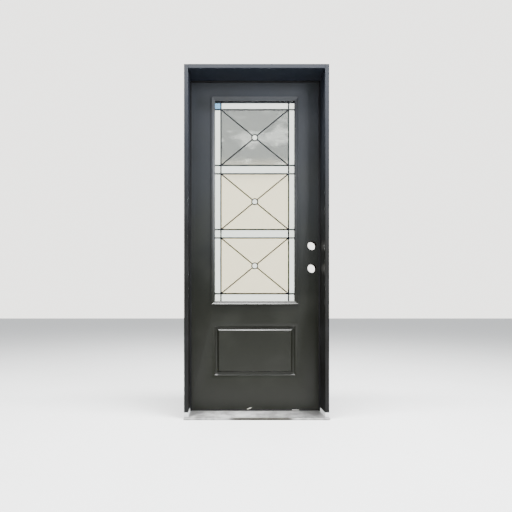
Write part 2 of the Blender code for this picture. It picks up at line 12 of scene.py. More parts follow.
import bmesh
import bpy
import numpy as np
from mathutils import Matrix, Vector


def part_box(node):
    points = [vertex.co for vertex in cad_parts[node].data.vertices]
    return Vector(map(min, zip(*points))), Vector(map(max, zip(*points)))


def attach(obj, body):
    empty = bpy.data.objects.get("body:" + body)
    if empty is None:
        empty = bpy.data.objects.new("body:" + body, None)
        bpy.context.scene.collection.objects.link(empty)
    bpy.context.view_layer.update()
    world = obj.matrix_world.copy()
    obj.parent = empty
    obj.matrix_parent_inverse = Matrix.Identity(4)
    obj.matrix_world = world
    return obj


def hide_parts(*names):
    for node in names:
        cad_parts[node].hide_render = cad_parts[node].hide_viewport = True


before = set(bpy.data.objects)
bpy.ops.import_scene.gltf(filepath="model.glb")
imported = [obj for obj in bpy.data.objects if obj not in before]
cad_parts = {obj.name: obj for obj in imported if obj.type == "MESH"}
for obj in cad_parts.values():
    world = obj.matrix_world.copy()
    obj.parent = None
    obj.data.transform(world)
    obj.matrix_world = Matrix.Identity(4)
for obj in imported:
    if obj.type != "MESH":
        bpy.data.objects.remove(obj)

LOG = logging.getLogger("door")
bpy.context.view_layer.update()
MM_IN_M = 1000.0

Object = bpy.types.Object
Tree = bpy.types.NodeTree
Node = bpy.types.Node
Socket = bpy.types.NodeSocket
Pair = tuple[float, float]
Triple = tuple[float, float, float]
Band = tuple[float, float, float, float]


class Body(Enum):
    """The two bodies that pieces ride on."""

    FRAME = "frame"
    DOOR = "door"


class Slot(Enum):
    """Material slots of the record."""

    SLAB = "painted_slab"
    JAMB = "painted_frame"
    ALUMINIUM = "mill_aluminium"
    CAP = "threshold_cap"
    SEAL = "foam_seal"
    GLASS = "clear_glass"
    CAME = "blackened_came"
    SPACER = "steel_spacer"
    HINGE = "hinge_steel"


class Quarter(Enum):
    """The four pieces of glass round a ring, as their number in a crossed cell."""

    BELOW = 0
    RIGHT = 1
    ABOVE = 2
    LEFT = 3


class Kind(Enum):
    """Kinds of node: Blender's name for each and its settings."""

    COORDINATES = ("ShaderNodeTexCoord", {})
    SPLIT = ("ShaderNodeSeparateXYZ", {})
    NOISE = ("ShaderNodeTexNoise", {})
    EASED = ("ShaderNodeMapRange", {"interpolation_type": "SMOOTHSTEP"})
    MIX = ("ShaderNodeMixRGB", {})
    BUMP = ("ShaderNodeBump", {})
    STRETCH = ("ShaderNodeMapping", {})
    PLACE = ("ShaderNodeMapping", {"vector_type": "TEXTURE"})
    LENGTH = ("ShaderNodeVectorMath", {"operation": "LENGTH"})
    MULTIPLY_ADD = ("ShaderNodeMath", {"operation": "MULTIPLY_ADD"})
    MULTIPLY = ("ShaderNodeMath", {"operation": "MULTIPLY"})
    SUBTRACT = ("ShaderNodeMath", {"operation": "SUBTRACT"})
    ABSOLUTE = ("ShaderNodeMath", {"operation": "ABSOLUTE"})


# Colours and nodes


def linear(hex_colour: str) -> tuple[float, float, float, float]:
    """Turn an sRGB hex colour into linear red, green, blue and a full alpha.

    Each channel c becomes c / 12.92 up to 0.04045, and ((c + 0.055) / 1.055)^2.4 over it.

    Args:
        hex_colour: Colour as "#rrggbb".

    Returns:
        The linear colour.
    """
    channels = np.array([int(hex_colour[start : start + 2], 16) for start in (1, 3, 5)]) / 255
    curved = ((channels + 0.055) / 1.055) ** 2.4
    return (*np.where(channels <= 0.04045, channels / 12.92, curved).tolist(), 1.0)


def wire(tree: Tree, node: Node, values: dict, links: dict) -> None:
    """Set a node's plain values and feed its sockets.

    Args:
        tree: Node tree that the node is in.
        node: The node.
        values: Plain values by input name or number, colours as "#rrggbb".
        links: What feeds each input: an output socket, or a node for its first output.
    """
    for key, value in values.items():
        node.inputs[key].default_value = linear(value) if isinstance(value, str) else value
    for key, source in links.items():
        socket = source.outputs[0] if isinstance(source, Node) else source
        tree.links.new(socket, node.inputs[key])


def add_node(
    tree: Tree, kind: Kind, values: dict | None = None, links: dict | None = None
) -> Node:
    """Add one node with its settings, its plain values and what feeds it.

    Args:
        tree: Node tree that gets the node.
        kind: Kind of node.
        values: Plain values, as wire takes them.
        links: What feeds each input, as wire takes it.

    Returns:
        The new node.
    """
    name, settings = kind.value
    node = tree.nodes.new(name)
    for key, value in settings.items():
        setattr(node, key, value)
    wire(tree, node, values or {}, links or {})
    return node


def grain(size_mm: float, detail: float = 2.0) -> dict:
    """Values of a noise whose lumps are this many millimetres across."""
    return {"Scale": MM_IN_M / size_mm, "Detail": detail}


def relief(rise_mm: float) -> dict:
    """Values of a bump that rises this many millimetres from its lowest to its highest."""
    return {"Strength": 1.0, "Distance": rise_mm / MM_IN_M}


def span(low: float, high: float, first: float = 0.0, last: float = 1.0) -> dict:
    """Values of an eased map that takes low to high onto first to last."""
    return {1: low, 2: high, 3: first, 4: last}


def spread(middle: float, wear: Pair, noise_reach: Pair = (0.3, 0.7)) -> dict:
    """Values that ease a noise into a roughness this much under and over its middle."""
    return span(*noise_reach, middle - wear[0], middle + wear[1])


# Finishes


@dataclass(frozen=True)
class Finish:
    """A surface finish, made into one material the first time it is used.

    Every finish has plain levels and a relief from one fine noise, which stretch can draw out
    along an axis. Each kind of finish then paints its colour.
    """

    name: str
    grain_mm: float = 1.0
    grain_rise_mm: float = 0.0
    roughness: float = 0.5
    gloss: float = 0.5
    metallic: float = 0.0
    wear: Pair = (0.05, 0.08)
    grain_detail: float = 2.0
    stretch: Triple = (1.0, 1.0, 1.0)

    def material(self) -> bpy.types.Material:
        """Find this finish's material, or make it.

        Returns:
            The material, shared by every piece that has the finish.
        """
        made = bpy.data.materials.get(self.name)
        if made:
            return made
        made = bpy.data.materials.new(self.name)
        made.use_nodes = True
        tree = made.node_tree
        shader = tree.nodes["Principled BSDF"]
        at = add_node(tree, Kind.COORDINATES).outputs["Object"]
        drawn = add_node(tree, Kind.STRETCH, {3: self.stretch}, {0: at})
        fine = add_node(tree, Kind.NOISE, grain(self.grain_mm, self.grain_detail), {0: drawn})
        plain = {
            "Roughness": self.roughness,
            "Specular IOR Level": self.gloss,
            "Metallic": self.metallic,
        }
        wire(tree, shader, plain, {})
        if self.grain_rise_mm:
            bump = add_node(tree, Kind.BUMP, relief(self.grain_rise_mm), {"Height": fine})
            wire(tree, shader, {}, {"Normal": bump})
        self.paint(tree, shader, at, fine)
        return made

    def paint(self, tree: Tree, shader: Node, at: Socket, fine: Node) -> None:
        """Add the nodes of the finish's colour.

        Args:
            tree: The material's node tree.
            shader: Its Principled BSDF.
            at: Object coordinates.
            fine: The noise of the relief.
        """
        raise NotImplementedError


@dataclass(frozen=True)
class Painted(Finish):
    """Satin paint: painted sky light high up, dust and painted shade low down, cloudy all over."""

    # The top colour paints bluish sky light. The bottom colour is road dust with painted shade.
    # Height blends them between the two heights below.
    sky_lit_top: str = "#2b2d30"
    shaded_dusty_bottom: str = "#11120c"
    cloud: str = "#1e1f1a"
    shade_and_dust_from: float = 0.5
    shade_and_dust_to: float = 2.0
    cloud_mm: float = 260.0
    cloud_detail: float = 3.0
    cloud_band: Band = (0.42, 0.75, 0.0, 0.45)

    def paint(self, tree: Tree, shader: Node, at: Socket, fine: Node) -> None:
        """See the base class."""
        height = add_node(tree, Kind.SPLIT, links={0: at}).outputs["Z"]
        # Painted light: lighter and bluer towards the top, darker towards the bottom as painted
        # shade over road dust.
        rise = add_node(tree, Kind.EASED, span(self.shade_and_dust_from, self.shade_and_dust_to), {0: height})
        shaded_and_dusted = add_node(tree, Kind.MIX, {1: self.shaded_dusty_bottom, 2: self.sky_lit_top}, {0: rise})
        clouds = add_node(tree, Kind.NOISE, grain(self.cloud_mm, self.cloud_detail), {0: at})
        thin = add_node(tree, Kind.EASED, span(*self.cloud_band), {0: clouds})
        clouded = add_node(tree, Kind.MIX, {2: self.cloud}, {0: thin, 1: shaded_and_dusted})
        worn = add_node(tree, Kind.EASED, spread(self.roughness, self.wear), {0: clouds})
        marked = self.mark(tree, at, height, clouded)
        wire(tree, shader, {}, {"Base Color": marked, "Roughness": worn})

    def mark(self, tree: Tree, at: Socket, height: Socket, coat: Node) -> Node:
        """Add what breaks the coat of paint.

        Args:
            tree: The material's node tree.
            at: Object coordinates.
            height: Their z.
            coat: The paint's colour.

        Returns:
            The colour with the marks.
        """
        raise NotImplementedError


@dataclass(frozen=True)
class PaintedFibreglass(Painted):
    """Moulded fibreglass skin under a sprayed satin paint.

    The eye sees an even charcoal with a slight orange peel, a little bluer and lighter high up in
    painted sky light, and olive and darker towards the bottom rail from road dust with painted
    shade.
    """

    grain_mm: float = 3.2
    grain_rise_mm: float = 0.035
    roughness: float = 0.36
    gloss: float = 0.21
    wear: Pair = (0.03, 0.05)
    scrape: str = "#a9a79c"
    scrape_at: Triple = (-0.035, 0.0422, 0.0295)
    scrape_size: Triple = (0.017, 0.006, 0.0035)
    scrape_turn: float = 0.35
    scrape_mm: float = 4.0
    scrape_detail: float = 4.0
    scrape_raggedness: float = 0.9
    scrape_band: Band = (1.25, 1.45, 1.0, 0.0)

    def mark(self, tree: Tree, at: Socket, height: Socket, coat: Node) -> Node:
        """See the base class."""
        placing = {1: self.scrape_at, 2: (0.0, -self.scrape_turn, 0.0), 3: self.scrape_size}
        local = add_node(tree, Kind.PLACE, placing, {0: at})
        reach = add_node(tree, Kind.LENGTH, links={0: local}).outputs["Value"]
        chips = add_node(tree, Kind.NOISE, grain(self.scrape_mm, self.scrape_detail), {0: at})
        share = {1: self.scrape_raggedness}
        ragged = add_node(tree, Kind.MULTIPLY_ADD, share, {0: chips, 2: reach})
        bare = add_node(tree, Kind.EASED, span(*self.scrape_band), {0: ragged})
        return add_node(tree, Kind.MIX, {2: self.scrape}, {0: bare, 1: coat})


@dataclass(frozen=True)
class PaintedJamb(Painted):
    """Primed jamb stock under brushed satin paint, with an unpainted rot-proof foot.

    The eye sees charcoal with faint upright brush marks, bluer towards the head in painted sky
    light, darker low down from road dust with painted shade, and a pale grey foot by the sill.
    """

    grain_mm: float = 2.5
    grain_rise_mm: float = 0.05
    stretch: Triple = (1.0, 1.0, 2.5 / 90.0)
    roughness: float = 0.54
    gloss: float = 0.14
    wear: Pair = (0.04, 0.06)
    # The bluer top colour is painted sky light. The darker bottom colour is road dust with painted
    # shade.
    sky_lit_top: str = "#161a21"
    shaded_dusty_bottom: str = "#0a0a08"
    cloud: str = "#1f2021"
    shade_and_dust_from: float = 0.9
    shade_and_dust_to: float = 2.05
    cloud_mm: float = 180.0
    cloud_band: Band = (0.4, 0.75, 0.0, 0.3)
    foot: str = "#c4c5c3"
    foot_height: float = 0.0385
    foot_softness: float = 0.0006

    def mark(self, tree: Tree, at: Socket, height: Socket, coat: Node) -> Node:
        """See the base class."""
        edge = span(self.foot_height - self.foot_softness, self.foot_height)
        above = add_node(tree, Kind.EASED, edge, {0: height})
        return add_node(tree, Kind.MIX, {1: self.foot}, {0: above, 2: coat})


@dataclass(frozen=True)
class Mottled(Finish):
    """Two close colours in patches, which also vary the roughness."""

    colour: str = "#0c0c0d"
    patch: str = "#151516"
    patch_mm: float = 14.0
    patch_detail: float = 4.0
    patch_band: Band = (0.35, 0.7, 0.0, 1.0)

    def paint(self, tree: Tree, shader: Node, at: Socket, fine: Node) -> None:
        """See the base class."""
        patches = add_node(tree, Kind.NOISE, grain(self.patch_mm, self.patch_detail), {0: at})
        share = add_node(tree, Kind.EASED, span(*self.patch_band), {0: patches})
        mixed = add_node(tree, Kind.MIX, {1: self.colour, 2: self.patch}, {0: share})
        worn = add_node(tree, Kind.EASED, spread(self.roughness, self.wear), {0: patches})
        marked = self.mark(tree, at, mixed)
        wire(tree, shader, {}, {"Base Color": marked, "Roughness": worn})

    def mark(self, tree: Tree, at: Socket, mixed: Node) -> Node:
        """Leave the colour as it is, where a kind of finish doesn't mark it."""
        return mixed


@dataclass(frozen=True)
class SoftMoulding(Mottled):
    """Matt moulded polymer: foam skin, vinyl or wood-filled composite.

    The eye sees a dull, slightly mottled surface with a fine grain.
    """

    grain_mm: float = 0.8
    grain_rise_mm: float = 0.04
    roughness: float = 0.75
    gloss: float = 0.12


@dataclass(frozen=True)
class PlainMetal(Mottled):
    """Small metal goods with a plated, drawn or patinated face.

    The eye sees a dull sheen that varies a little from one spot to the next.
    """

    grain_mm: float = 0.7
    grain_rise_mm: float = 0.012
    roughness: float = 0.36
    metallic: float = 1.0
    wear: Pair = (0.05, 0.12)
    patch_mm: float = 9.0
    patch_band: Band = (0.4, 0.72, 0.0, 0.8)


@dataclass(frozen=True)
class MillAluminium(Mottled):
    """Extruded aluminium as it leaves the mill.

    The eye sees pale metal with fine lines along the extrusion, dull patches of wear, and painted
    shade darkening the middle of the nose's upright front.
    """

    grain_mm: float = 0.9
    grain_rise_mm: float = 0.02
    stretch: Triple = (0.9 / 120.0, 1.0, 1.0)
    roughness: float = 0.34
    metallic: float = 1.0
    wear: Pair = (0.06, 0.1)
    colour: str = "#a6a6a5"
    patch: str = "#6a6a68"
    patch_mm: float = 70.0
    patch_band: Band = (0.4, 0.7, 0.0, 0.8)
    # Painted shade: the colour below darkens the middle of the nose's upright front, as the dark
    # ground that it faces would.
    painted_nose_shade: str = "#35342f"
    nose_y: float = -0.0985
    nose_softness: float = 0.0008
    nose_shade_ends: Pair = (-0.155, 0.205)
    nose_shade_fade: float = 0.03
    nose_shade_beyond: float = 0.25

    def mark(self, tree: Tree, at: Socket, mixed: Node) -> Node:
        """Paint shade along the middle of the nose's upright front.

        Args:
            tree: The material's node tree.
            at: Object coordinates.
            mixed: The metal's colour.

        Returns:
            The colour with the painted shade.
        """
        # Painted shade along the nose's front, strongest in the middle and fading towards the ends.
        split = add_node(tree, Kind.SPLIT, links={0: at})
        left, right = self.nose_shade_ends
        reach, centre = (right - left) / 2, (left + right) / 2
        middle = add_node(tree, Kind.SUBTRACT, {1: centre}, {0: split.outputs["X"]})
        off = add_node(tree, Kind.ABSOLUTE, links={0: middle})
        ends = span(reach - self.nose_shade_fade, reach + self.nose_shade_fade, 1.0, self.nose_shade_beyond)
        along = add_node(tree, Kind.EASED, ends, {0: off})
        nose = span(self.nose_y, self.nose_y + self.nose_softness, 1.0, 0.0)
        front = add_node(tree, Kind.EASED, nose, {0: split.outputs["Y"]})
        share = add_node(tree, Kind.MULTIPLY, links={0: along, 1: front})
        return add_node(tree, Kind.MIX, {2: self.painted_nose_shade}, {0: share, 1: mixed})


@dataclass(frozen=True)
class ClearGlass(Finish):
    """Clear glass: float glass drawn flat, or cut pieces with ground and polished bevels.

    The eye sees straight through the flat of it, with a very slow waviness in what it mirrors,
    and along a bevel what is behind it, shifted.
    """

    grain_mm: float = 120.0
    grain_rise_mm: float = 0.02
    roughness: float = 0.0
    gloss: float = 0.12
    tint: str = "#fbfdfc"
    index: float = 1.5

    def paint(self, tree: Tree, shader: Node, at: Socket, fine: Node) -> None:
        """See the base class."""
        plain = {"Base Color": self.tint, "Transmission Weight": 1.0, "IOR": self.index}
        wire(tree, shader, plain, {})


@dataclass(frozen=True)
class RainGlass(ClearGlass):
    """Rolled glass with one rippled face, which lets light in and hides the room.

    The eye sees a bright blurred glow, cream low down, and high up a greyer tone with pale drifts
    that is a painted reflection of the surroundings.
    """

    grain_mm: float = 3.4
    grain_rise_mm: float = 0.16
    grain_detail: float = 1.0
    roughness: float = 0.24
    index: float = 1.46
    low: str = "#faefd2"
    # The high colour and the pale drift colour paint a reflection of the surroundings in the upper
    # glass.
    high: str = "#838583"
    reflected_drift: str = "#b4b6b4"
    low_until: float = 1.40
    high_from: float = 1.60
    reflected_drift_mm: float = 150.0
    reflected_drift_detail: float = 5.0
    reflected_drift_band: Band = (0.46, 0.62, 0.0, 1.0)
    flatten: Triple = (0.7, 1.0, 1.5)

    def paint(self, tree: Tree, shader: Node, at: Socket, fine: Node) -> None:
        """See the base class."""
        super().paint(tree, shader, at, fine)
        # Painted reflection: greyer with pale patches high up, cream low down.
        height = add_node(tree, Kind.SPLIT, links={0: at}).outputs["Z"]
        flattened = add_node(tree, Kind.STRETCH, {3: self.flatten}, {0: at})
        lumps = grain(self.reflected_drift_mm, self.reflected_drift_detail)
        reflected_drifts = add_node(tree, Kind.NOISE, lumps, {0: flattened})
        share = add_node(tree, Kind.EASED, span(*self.reflected_drift_band), {0: reflected_drifts})
        upper = add_node(tree, Kind.MIX, {1: self.high, 2: self.reflected_drift}, {0: share})
        rise = add_node(tree, Kind.EASED, span(self.low_until, self.high_from), {0: height})
        cast = add_node(tree, Kind.MIX, {1: self.low}, {0: rise, 2: upper})
        wire(tree, shader, {}, {"Base Color": cast})


@dataclass(frozen=True)
class BareStile(Finish):
    """Laminated stile laid bare by a hole saw, coloured near-black.

    The eye sees dark streaky wood with rough rings from the saw.
    """

    grain_mm: float = 2.2
    grain_rise_mm: float = 0.15
    grain_detail: float = 3.0
    stretch: Triple = (1.0, 1.0, 2.2 / 60.0)
    roughness: float = 0.95
    gloss: float = 0.03
    wood: str = "#1e1915"
    streak: str = "#0d0b09"
    streak_band: Band = (0.35, 0.65, 0.0, 1.0)

    def paint(self, tree: Tree, shader: Node, at: Socket, fine: Node) -> None:
        """See the base class."""
        share = add_node(tree, Kind.EASED, span(*self.streak_band), {0: fine})
        streaked = add_node(tree, Kind.MIX, {1: self.wood, 2: self.streak}, {0: share})
        wire(tree, shader, {}, {"Base Color": streaked})


@dataclass(frozen=True)
class StudioPaper(Finish):
    """Pale paper under the door, which isn't part of it."""

    grain_mm: float = 400.0
    roughness: float = 0.9
    paper: str = "#c4c4c3"
    fibre: str = "#bebebc"

    def paint(self, tree: Tree, shader: Node, at: Socket, fine: Node) -> None:
        """See the base class."""
        mixed = add_node(tree, Kind.MIX, {1: self.paper, 2: self.fibre}, {0: fine})
        wire(tree, shader, {}, {"Base Color": mixed})


SLAB_PAINT = PaintedFibreglass("satin_painted_fibreglass")
JAMB_PAINT = PaintedJamb("satin_painted_jamb")
SILL_METAL = MillAluminium("mill_finish_aluminium")
CAP_COMPOSITE = SoftMoulding(
    "wood_filled_composite", 1.2, 0.05, 0.6, 0.3, colour="#2b2a28", patch="#3a3936", patch_mm=22.0
)
SEAL_FOAM = SoftMoulding("foam_seal_skin")
SWEEP_VINYL = SoftMoulding(
    "black_vinyl", 1.0, 0.02, 0.45, 0.3, colour="#0d0d0e", patch="#18181a", patch_mm=20.0
)
SWEEP_CORE = SoftMoulding(
    "pale_vinyl_core", 0.8, 0.03, 0.6, 0.4, colour="#e9e7e0", patch="#dcd9d0", patch_mm=6.0
)
PANE_GLASS = ClearGlass("clear_float_glass")
WEDGE_GLASS = RainGlass("rippled_rain_glass")
STRIP_GLASS = ClearGlass("bevelled_clear_glass", 6.0, 0.02, 0.04, tint="#f4f8f5")
# The pale blue tint paints a sky reflection in the top left square.
SKY_REFLECTION_GLASS = ClearGlass("pale_blue_bevelled_glass", 6.0, 0.02, 0.04, tint="#6fa9d6")
JEWEL_GLASS = ClearGlass("polished_round_glass", 9.0, 0.03, 0.02, tint="#f8faf6")
CAME_METAL = PlainMetal(
    "blackened_lead_came", 0.9, 0.03, 0.85, 0.03, 0.0,
    colour="#0a0a0a", patch="#040404", patch_mm=12.0,
)
SOLDER = PlainMetal(
    "tinned_solder", 0.8, 0.03, 0.4, 0.3, 0.5, colour="#1b1c1a", patch="#0c0c0b", patch_mm=5.0
)
SPACER_METAL = PlainMetal(
    "drawn_steel_spacer", 0.8, 0.01, 0.4, colour="#5b5c5c", patch="#474847", patch_mm=30.0
)
HINGE_METAL = PlainMetal("satin_plated_steel", colour="#7d7b76", patch="#5c5a56")
SCREW_METAL = PlainMetal(
    "plated_screw_steel", 0.6, 0.01, 0.3, colour="#b3ad98", patch="#8c8672", patch_mm=5.0
)
STILE_WOOD = BareStile("sawn_laminated_stile")
PAPER = StudioPaper("pale_studio_paper")


# Surfaces

MERGE_WITHIN = 1e-5
FLAT_WITHIN = math.radians(0.5)
ARRIS_OVER = math.radians(24)
SMALLEST_RING = 0.02
SHARP_OVER_DEGREES = 32.0


def grid_faces(rows: int, columns: int, wrap_rows: bool, wrap_columns: bool) -> np.ndarray:
    """Four-cornered faces over a grid of points numbered row by row.

    Args:
        rows: Number of rows of points.
        columns: Points in each row.
        wrap_rows: Join the last row to the first.
        wrap_columns: Join the last column to the first.

    Returns:
        Point numbers of each face, one face to a row.
    """
    row = np.arange(rows if wrap_rows else rows - 1)[:, None]
    column = np.arange(columns if wrap_columns else columns - 1)[None, :]
    below, beside = (row + 1) % rows, (column + 1) % columns
    corners = np.broadcast_arrays(
        row * columns + column,
        row * columns + beside,
        below * columns + beside,
        below * columns + column,
    )
    return np.stack(corners, -1).reshape(-1, 4)


def place(name: str, mesh: bpy.types.Mesh, sharp_over: float) -> Object:
    """Smooth a mesh but for its sharper edges and add it to the scene.

    Args:
        name: Name of the piece.
        mesh: Its mesh.
        sharp_over: Edges that turn by more than this angle stay sharp.

    Returns:
        The new object.
    """
    mesh.shade_smooth()
    mesh.set_sharp_from_angle(angle=sharp_over)
    piece = bpy.data.objects.new(name, mesh)
    bpy.context.scene.collection.objects.link(piece)
    return piece


def surface(name: str, points: np.ndarray, faces: list, sharp_over: float) -> Object:
    """Make an object from points and faces, smooth but for its sharper edges.

    Args:
        name: Name of the piece.
        points: One point to a row, in metres.
        faces: Point numbers of each face.
        sharp_over: Edges that turn by more than this many degrees stay sharp.

    Returns:
        The new object, at the origin.
    """
    mesh = bpy.data.meshes.new(name)
    mesh.from_pydata(points.reshape(-1, 3).tolist(), [], faces)
    form = bmesh.new()
    form.from_mesh(mesh)
    bmesh.ops.recalc_face_normals(form, faces=form.faces)
    form.to_mesh(mesh)
    form.free()
    return place(name, mesh, math.radians(sharp_over))


@dataclass
class Shell:
    """Points and faces of one piece, gathered from grids whose columns close on themselves."""

    points: list[np.ndarray] = field(default_factory=list)
    faces: list[list[int]] = field(default_factory=list)
    count: int = 0

    def add(self, grid: np.ndarray, looped: bool = False, capped: bool = True) -> "Shell":
        """Add a grid of points.

        Args:
            grid: Points as rows by columns by three.
            looped: Join the last row to the first.
            capped: Close the first and the last row with a face each.

        Returns:
            This shell.
        """
        rows, columns = grid.shape[:2]
        self.faces += (grid_faces(rows, columns, looped, True) + self.count).tolist()
        if capped:
            last = self.count + (rows - 1) * columns
            self.faces += [list(range(at, at + columns)) for at in (self.count, last)]
        self.points.append(grid.reshape(-1, 3))
        self.count += rows * columns
        return self

    def make(self, name: str, sharp_over: float = SHARP_OVER_DEGREES) -> Object:
        """Make the piece, as surface does."""
        return surface(name, np.concatenate(self.points), self.faces, sharp_over)


def rounded(corners: np.ndarray, radii: np.ndarray, steps: int) -> np.ndarray:
    """Round the corners of a closed outline.

    Each corner becomes a curve from a point before it to one after it, each as far off as the
    radius: start (1 - t)^2 + 2 corner t (1 - t) + end t^2, for t from 0 to 1.

    Args:
        corners: One corner to a row.
        radii: How far off each corner its curve starts, zero to keep it.
        steps: Spans in each curve.

    Returns:
        Points of the rounded outline.
    """
    before = np.roll(corners, 1, axis=0) - corners
    after = np.roll(corners, -1, axis=0) - corners
    start = corners + before / np.linalg.norm(before, axis=1)[:, None] * radii[:, None]
    end = corners + after / np.linalg.norm(after, axis=1)[:, None] * radii[:, None]
    t = np.linspace(0.0, 1.0, steps + 1)[None, :, None]
    curves = (
        start[:, None] * (1 - t) ** 2 + 2 * corners[:, None] * t * (1 - t) + end[:, None] * t**2
    )
    keep = (radii[:, None] > 0) | (np.arange(steps + 1)[None, :] == 0)
    return curves[keep]


def mitred_frame(
    name: str, profile: np.ndarray, sides: Triple, face: float, inward: int
) -> Object:
    """Carry a closed profile round a rectangle with mitred corners.

    Each profile point is (inset, depth), and at a corner it stands at (±(half width - inset),
    face + inward x depth, low + inset or high - inset).

    Args:
        name: Name of the piece.
        profile: Closed profile, one (inset, depth) to a row.
        sides: Half the rectangle's width, its lower edge and its upper edge.
        face: The plane across y that depths are measured from.
        inward: +1 where depth runs towards +Y, -1 towards -Y.

    Returns:
        The frame.
    """
    inset, depth = profile[:, 0], profile[:, 1]
    y = face + inward * depth
    half_width, low, high = sides
    x, bottom, top = half_width - inset, low + inset, high - inset
    loops = [(-x, bottom), (x, bottom), (x, top), (-x, top)]
    grid = np.stack([np.stack([across, y, up], -1) for across, up in loops])
    return Shell().add(grid, looped=True, capped=False).make(name)


def run_along(name: str, profile: np.ndarray, ends: Pair, axis: int, steps: int = 1) -> Object:
    """Carry a closed profile straight along x or z and close its ends.

    Args:
        name: Name of the piece.
        profile: Closed profile, one point to a row, whose two columns fill the other two axes.
        ends: Where the run starts and ends along the axis.
        axis: 0 for x, 2 for z.
        steps: Spans along the run.

    Returns:
        The piece.
    """
    grid = np.empty((steps + 1, len(profile), 3))
    grid[..., axis] = np.linspace(*ends, steps + 1)[:, None]
    grid[..., [other for other in range(3) if other != axis]] = profile
    return Shell().add(grid).make(name)


def softened(node: str, name: str, radius: float, segments: int = 3) -> Object:
    """Copy a CAD node, merge its loose triangles and round its arrises with a live Bevel.

    Args:
        node: Name of the CAD node.
        name: Name of the new piece.
        radius: Width of the rounding at each side of an arris.
        segments: Spans across the rounding.

    Returns:
        The copy.
    """
    form = bmesh.new()
    form.from_mesh(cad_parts[node].data)
    bmesh.ops.remove_doubles(form, verts=form.verts, dist=MERGE_WITHIN)
    bmesh.ops.dissolve_limit(form, angle_limit=FLAT_WITHIN, verts=form.verts, edges=form.edges)
    mesh = bpy.data.meshes.new(name)
    form.to_mesh(mesh)
    form.free()
    piece = place(name, mesh, ARRIS_OVER)
    bevel = piece.modifiers.new("rounded_arrises", "BEVEL")
    bevel.width = radius
    bevel.segments = segments
    bevel.limit_method = "ANGLE"
    bevel.angle_limit = ARRIS_OVER
    bevel.harden_normals = True
    return piece


def install(
    piece: Object, finish: Finish, body: Body, stands_for: tuple[str, ...] = ()
) -> None:
    """Dress a piece, fix it to its body and hide the CAD nodes that it stands for.

    Args:
        piece: The piece.
        finish: Its finish.
        body: The body that it rides on.
        stands_for: CAD nodes that it replaces.
    """
    if not piece.data.materials:
        piece.data.materials.append(finish.material())
    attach(piece, body.value)
    if stands_for:
        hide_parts(*stands_for)
    LOG.info("%s on %s: %d faces", piece.name, body.value, len(piece.data.polygons))


def redress(node: str, finish: Finish) -> None:
    """Give a CAD node that keeps its own shape a new finish.

    Args:
        node: Name of the node.
        finish: Its finish.
    """
    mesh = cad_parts[node].data
    mesh.materials.clear()
    mesh.materials.append(finish.material())
    LOG.info("%s redressed", node)


# The frame


@dataclass
class Casing:
    """Jambs, head, sill, threshold cap and foam seals."""

    arris: float = 0.0009
    metal_arris: float = 0.0004
    seal_fullness: float = 0.48
    seal_root: float = 0.0006
    seal_curve: int = 8
    seal_wrinkle: float = 0.0003
    seal_wrinkle_pitch: float = 0.061
    seal_steps: int = 160

    def build(self) -> None:
        """Build and dress the fixed pieces."""
        for node in ("hinge_jamb", "lock_jamb", "head_jamb"):
            piece = softened(node, f"painted_{node}", self.arris)
            install(piece, JAMB_PAINT, Body.FRAME, (node,))
        tread = softened("sill", "ribbed_sill", self.metal_arris, 2)
        install(tread, SILL_METAL, Body.FRAME, ("sill",))
        cap = softened("threshold_cap", "cap_strip", self.metal_arris, 2)
        install(cap, CAP_COMPOSITE, Body.FRAME, ("threshold_cap",))
        self.build_seals()

    def seal_profile(self, low: float, high: float, out: float, tip: float) -> np.ndarray:
        """Closed section of a foam seal, a pillow that is fullest at its free edge.

        Args:
            low: Front of the seal, along y.
            high: Its back.
            out: Where it stands on the jamb.
            tip: Where its free edge reaches.

        Returns:
            Outline as (distance along the reach, y).
        """
        back = np.array([[out, low], [tip, low], [tip, high], [out, high]])
        bulge = min(abs(tip - out), high - low) * self.seal_fullness
        radii = np.array([self.seal_root, bulge, bulge, self.seal_root])
        return rounded(back, radii, self.seal_curve)

    def build_seals(self) -> None:
        """Run a foam seal along each leg and along the head."""
        for node, side in (("hinge_side_seal", -1), ("lock_side_seal", 1)):
            low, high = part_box(node)
            out, tip = (low.x, high.x) if side < 0 else (high.x, low.x)
            profile = self.seal_profile(low.y, high.y, out, tip)
            seal = run_along(f"foam_{node}", profile, (low.z, high.z), 2, self.seal_steps)
            self.wrinkle(seal, 2, 0, (out + tip) / 2, tip)
            install(seal, SEAL_FOAM, Body.FRAME, (node,))
        low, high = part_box("head_seal")
        profile = self.seal_profile(low.y, high.y, high.z, low.z)[:, ::-1]
        seal = run_along("foam_head_seal", profile, (low.x, high.x), 0, self.seal_steps)
        self.wrinkle(seal, 0, 2, (low.z + high.z) / 2, low.z)
        install(seal, SEAL_FOAM, Body.FRAME, ("head_seal",))

    def wrinkle(self, seal: Object, along: int, across: int, middle: float, tip: float) -> None:
        """Let the free edge give a little inwards in slow waves.

        The tip moves back by wrinkle x (1 + sin(2 pi s / pitch)) / 2 x share, where s runs along
        the seal and share goes from 0 at the seal's middle to 1 at its tip.

        Args:
            seal: The seal.
            along: Axis that it runs along.
            across: Axis that it stands out along.
            middle: Coordinate of its middle across.
            tip: Coordinate of its free edge.
        """
        mesh = seal.data
        points = np.empty(len(mesh.vertices) * 3)
        mesh.vertices.foreach_get("co", points)
        points = points.reshape(-1, 3)
        share = np.clip((points[:, across] - middle) / (tip - middle), 0.0, 1.0)
        wave = (1 + np.sin(2 * np.pi * points[:, along] / self.seal_wrinkle_pitch)) / 2
        points[:, across] -= math.copysign(self.seal_wrinkle, tip - middle) * wave * share
        mesh.vertices.foreach_set("co", points.ravel())
        mesh.update()


# The slab


